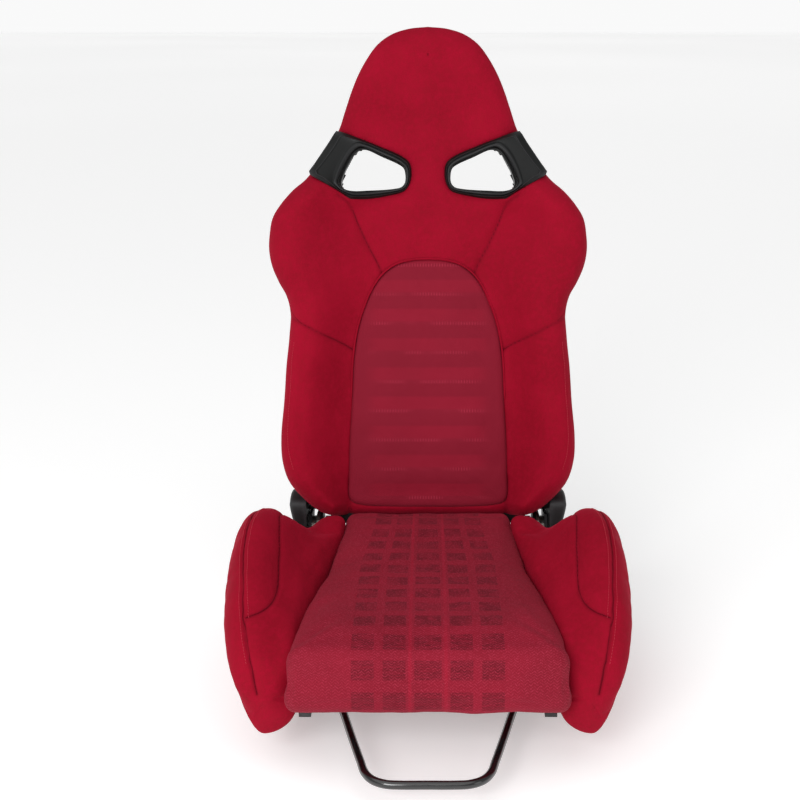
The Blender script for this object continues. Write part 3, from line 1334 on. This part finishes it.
def sharpen(piece, angle=40.0):
    """Keeps edges steeper than an angle crisp on a smooth-shaded piece."""
    piece.data.set_sharp_from_angle(angle=math.radians(angle))


def recliner_cover():
    """Moulded cap over the lock: domed outside, rolled edge, its top an arc about the axis."""
    y, z = PIVOT
    turns = np.radians(np.linspace(38, 118, 9))
    arc = [(y + COVER_ARC * math.cos(a), z + COVER_ARC * math.sin(a)) for a in turns]
    outline = spline([(108, 70), (140, 69), (170, 70), (178, 80), (187, 122), (192, 160)] + arc
                     + [(99, 185), (97, 150), (99, 100), (101, 78)], 4.0, closed=True)[:-1]
    middle = np.array([141.0, 150.0])
    rings = []
    profile = [(0.0, 0.0), (0.0, 3.0), (0.0, 7.0), (0.5, 9.5), (2.0, 11.5), (5.0, 13.0), (9.0, 13.8)]
    for inset, out in profile:
        edge = grown(outline, -inset)
        lean = COVER_LEAN * smoothstep(130, 225, edge[:, 1])
        rings.append(row_place(COVER_INNER + out + lean * min(1, out / 7.0), edge[:, 0], edge[:, 1]))
    base = grown(outline, -9.0)
    for k in range(1, 9):
        edge = mix(base, middle, k / 8)
        reach = np.linalg.norm(edge - PIVOT, axis=1)
        lean = COVER_LEAN * smoothstep(130, 225, edge[:, 1])
        boss = 2.5 * smoothstep(30, 26, reach) - 1.5 * smoothstep(17, 14, reach)
        rings.append(row_place(COVER_INNER + 13.8 + lean + boss, edge[:, 0], edge[:, 1]))
    count = len(outline)
    faces = grid_faces(len(rings), count, wrap=True) + [tuple(range(count))]
    left = make_mesh("recliner_cap_left", np.vstack(rings), faces)
    weld(left)
    sharpen(left, 50)
    finish_pair(left, "seat_base", SHELL_PLASTIC, "recliner_cover")


def arm_bracket():
    """Pressed channel that stiffens the upper arm where it enters the backrest."""
    outline = [(34, 6), (48, 5), (62, 5), (74, 8), (80, 16), (80, 40), (70, 46), (50, 40), (36, 26), (32, 14)]
    edge = spline(outline, 2.5, closed=True)[:-1]
    rings = []
    for x, inset in ((204.6, 0.0), (190.5, 0.0), (189.2, 0.4), (188.6, 1.6), (188.6, 3.0),
                     (190.0, 3.6), (203.0, 3.8)):
        ring = grown(edge, -inset)
        rings.append(back_point(x, ring[:, 1], ring[:, 0]))
    left = make_mesh("arm_bracket_left", *stacked(rings))
    face_outwards(left)
    sharpen(left)
    finish_pair(left, "backrest", FRAME_PAINT)


def hex_bolt(place, way, across_flats=13.0, height=5.5):
    """Flanged hexagon head with a chamfered top, standing on place and facing along way."""
    way = np.array(way, float) / np.linalg.norm(way)
    side = np.cross(way, (0.3, 0.5, 0.8))
    side /= np.linalg.norm(side)
    up = np.cross(way, side)
    half = across_flats / 2
    profile = [(half * 1.5, 0.0, 0), (half * 1.5, 0.9, 0), (half * 1.34, 1.4, 0), (half, 1.5, 1),
               (half, height - 1.0, 1), (half * 0.97, height - 0.2, 0.5), (half * 0.8, height, 0),
               (0.01, height, 0)]
    rings = []
    for radius, rise, hexagon in profile:
        a = np.linspace(0, 2 * math.pi, 36, endpoint=False)
        reach = radius * mix(1.0, hexagon_reach(a) / math.cos(math.pi / 6), hexagon)
        rings.append(np.array(place) + way * rise + reach[:, None] * (np.cos(a)[:, None] * side
                                                                     + np.sin(a)[:, None] * up))
    return np.vstack(rings), grid_faces(len(rings), 36, wrap=True)


def fasteners():
    y, z = PIVOT
    plates, rails = [], []
    for sign in (-1, 1):
        for by, bz in ((92, 94), (178, 92)):
            plates.append(hex_bolt(row_place(sign * 184.4, by, bz), (sign, 0, 0), 10.0, 5.0))
        for ry in (-150, -126, 96, 120):
            rails.append(hex_bolt(row_place(sign * 162.3, ry, 60), (-sign, 0, 0), 7.0, 3.0))
    plates.append(hex_bolt(row_place(-208.0, y, z), (-1, 0, 0), 13.0, 7.0))
    for name, parts, body in (("recliner_bolts", plates, "seat_base"), ("rail_bolts", rails, "seat_base")):
        piece = make_mesh(name, *merge(parts))
        weld(piece)
        sharpen(piece, 35)
        finish_piece(piece, body, ZINC)


release_bar()
recliner_cover()
arm_bracket()
fasteners()


# ------------------------------------------------------------------ finishes of the CAD solids
SLOT_FINISHES = {
    "black_steel": FRAME_PAINT, "zinc_steel": ZINC, "spring_steel": SPRING, "black_plastic": SHELL_PLASTIC,
    "gloss_black": BAR_ENAMEL, "red_knit": KNIT, "insert_weave": BACK_WEAVE,
}
for row in frame["record"]["subparts"]:
    node = NODES[row["node"]]
    node.data.materials.clear()
    node.data.materials.append(SLOT_FINISHES[row["material_slot"]])
    if row["material_slot"] in ("black_steel", "zinc_steel"):
        edge = node.modifiers.new("rolled_edges", "BEVEL")
        edge.width = 0.7 * MM
        edge.segments = 2
        edge.limit_method = "ANGLE"
        edge.angle_limit = math.radians(50)


# ------------------------------------------------------------------ floor, light and camera
FLOOR_REACH = 90000.0
FLOOR_GLOW = 0.31
KEY_POWER = 44
FILL_POWER = 4
SKY_POWER = 1.0
HORIZON = {"From Min": 0.06, "From Max": 0.35, "To Min": 0.95, "To Max": 0.36}   # height to brightness
CAMERA_PLACE = (0.0, -1.8285, 1.002)
CAMERA_PITCH = 73            # degrees up from straight down
CAMERA_LENS = 56.25
CAMERA_SHIFT = -0.035


def floor():
    m = Shader("studio_floor")
    soft = m.noise(m.object_place(), 0.05, 2.0)
    tone = m.mix_color(m.ramp(soft, 0.3, 0.7), rgb(238, 238, 238), rgb(246, 246, 246))
    m.finish(Base_Color=tone, Roughness=0.8, Emission_Color=(1, 1, 1, 1), Emission_Strength=FLOOR_GLOW,
             Specular_IOR_Level=0.1)
    corners = [(a * FLOOR_REACH, b * FLOOR_REACH, 0) for a, b in ((-1, -1), (1, -1), (1, 1), (-1, 1))]
    piece = make_mesh("studio_floor", corners, [(0, 1, 2, 3)])
    piece.data.materials.append(m.material)


def area_light(name, place, target, size, power, colour=(1, 1, 1)):
    data = bpy.data.lights.new(name, "AREA")
    data.shape = "RECTANGLE"
    data.size, data.size_y = size
    data.energy = power
    data.color = colour
    lamp = bpy.data.objects.new(name, data)
    lamp.location = place
    lamp.rotation_euler = (Vector(target) - Vector(place)).to_track_quat("-Z", "Y").to_euler()
    bpy.context.scene.collection.objects.link(lamp)


floor()
area_light("key", (-0.9, -2.6, 1.6), (0, 0, 0.5), (1.3, 1.3), KEY_POWER)
area_light("fill", (1.9, -1.8, 1.2), (0, 0, 0.5), (0.8, 1.4), FILL_POWER)
sky_data = bpy.data.lights.new("overhead", "SUN")
sky_data.energy = SKY_POWER
sky_data.angle = math.radians(75)
sky = bpy.data.objects.new("overhead", sky_data)
sky.rotation_euler = (math.radians(20), math.radians(-12), 0)
bpy.context.scene.collection.objects.link(sky)
world = bpy.data.worlds.new("studio")
world.use_nodes = True
background = world.node_tree.nodes["Background"]
direction = world.node_tree.nodes.new("ShaderNodeTexCoord")
height = world.node_tree.nodes.new("ShaderNodeSeparateXYZ")
level = world.node_tree.nodes.new("ShaderNodeMapRange")
world.node_tree.links.new(direction.outputs["Generated"], height.inputs[0])
world.node_tree.links.new(height.outputs[2], level.inputs["Value"])
for key, value in HORIZON.items():
    level.inputs[key].default_value = value
world.node_tree.links.new(level.outputs[0], background.inputs["Strength"])
background.inputs["Color"].default_value = (1, 1, 1, 1)
bpy.context.scene.world = world
bpy.context.scene.view_settings.view_transform = "Standard"

camera_data = bpy.data.cameras.new("photo_camera")
camera_data.lens = CAMERA_LENS
camera_data.sensor_width = 36.0
camera_data.shift_x = CAMERA_SHIFT
camera = bpy.data.objects.new("photo_camera", camera_data)
camera.location = CAMERA_PLACE
camera.rotation_euler = (math.radians(CAMERA_PITCH), 0, 0)
bpy.context.scene.collection.objects.link(camera)
bpy.context.scene.camera = camera
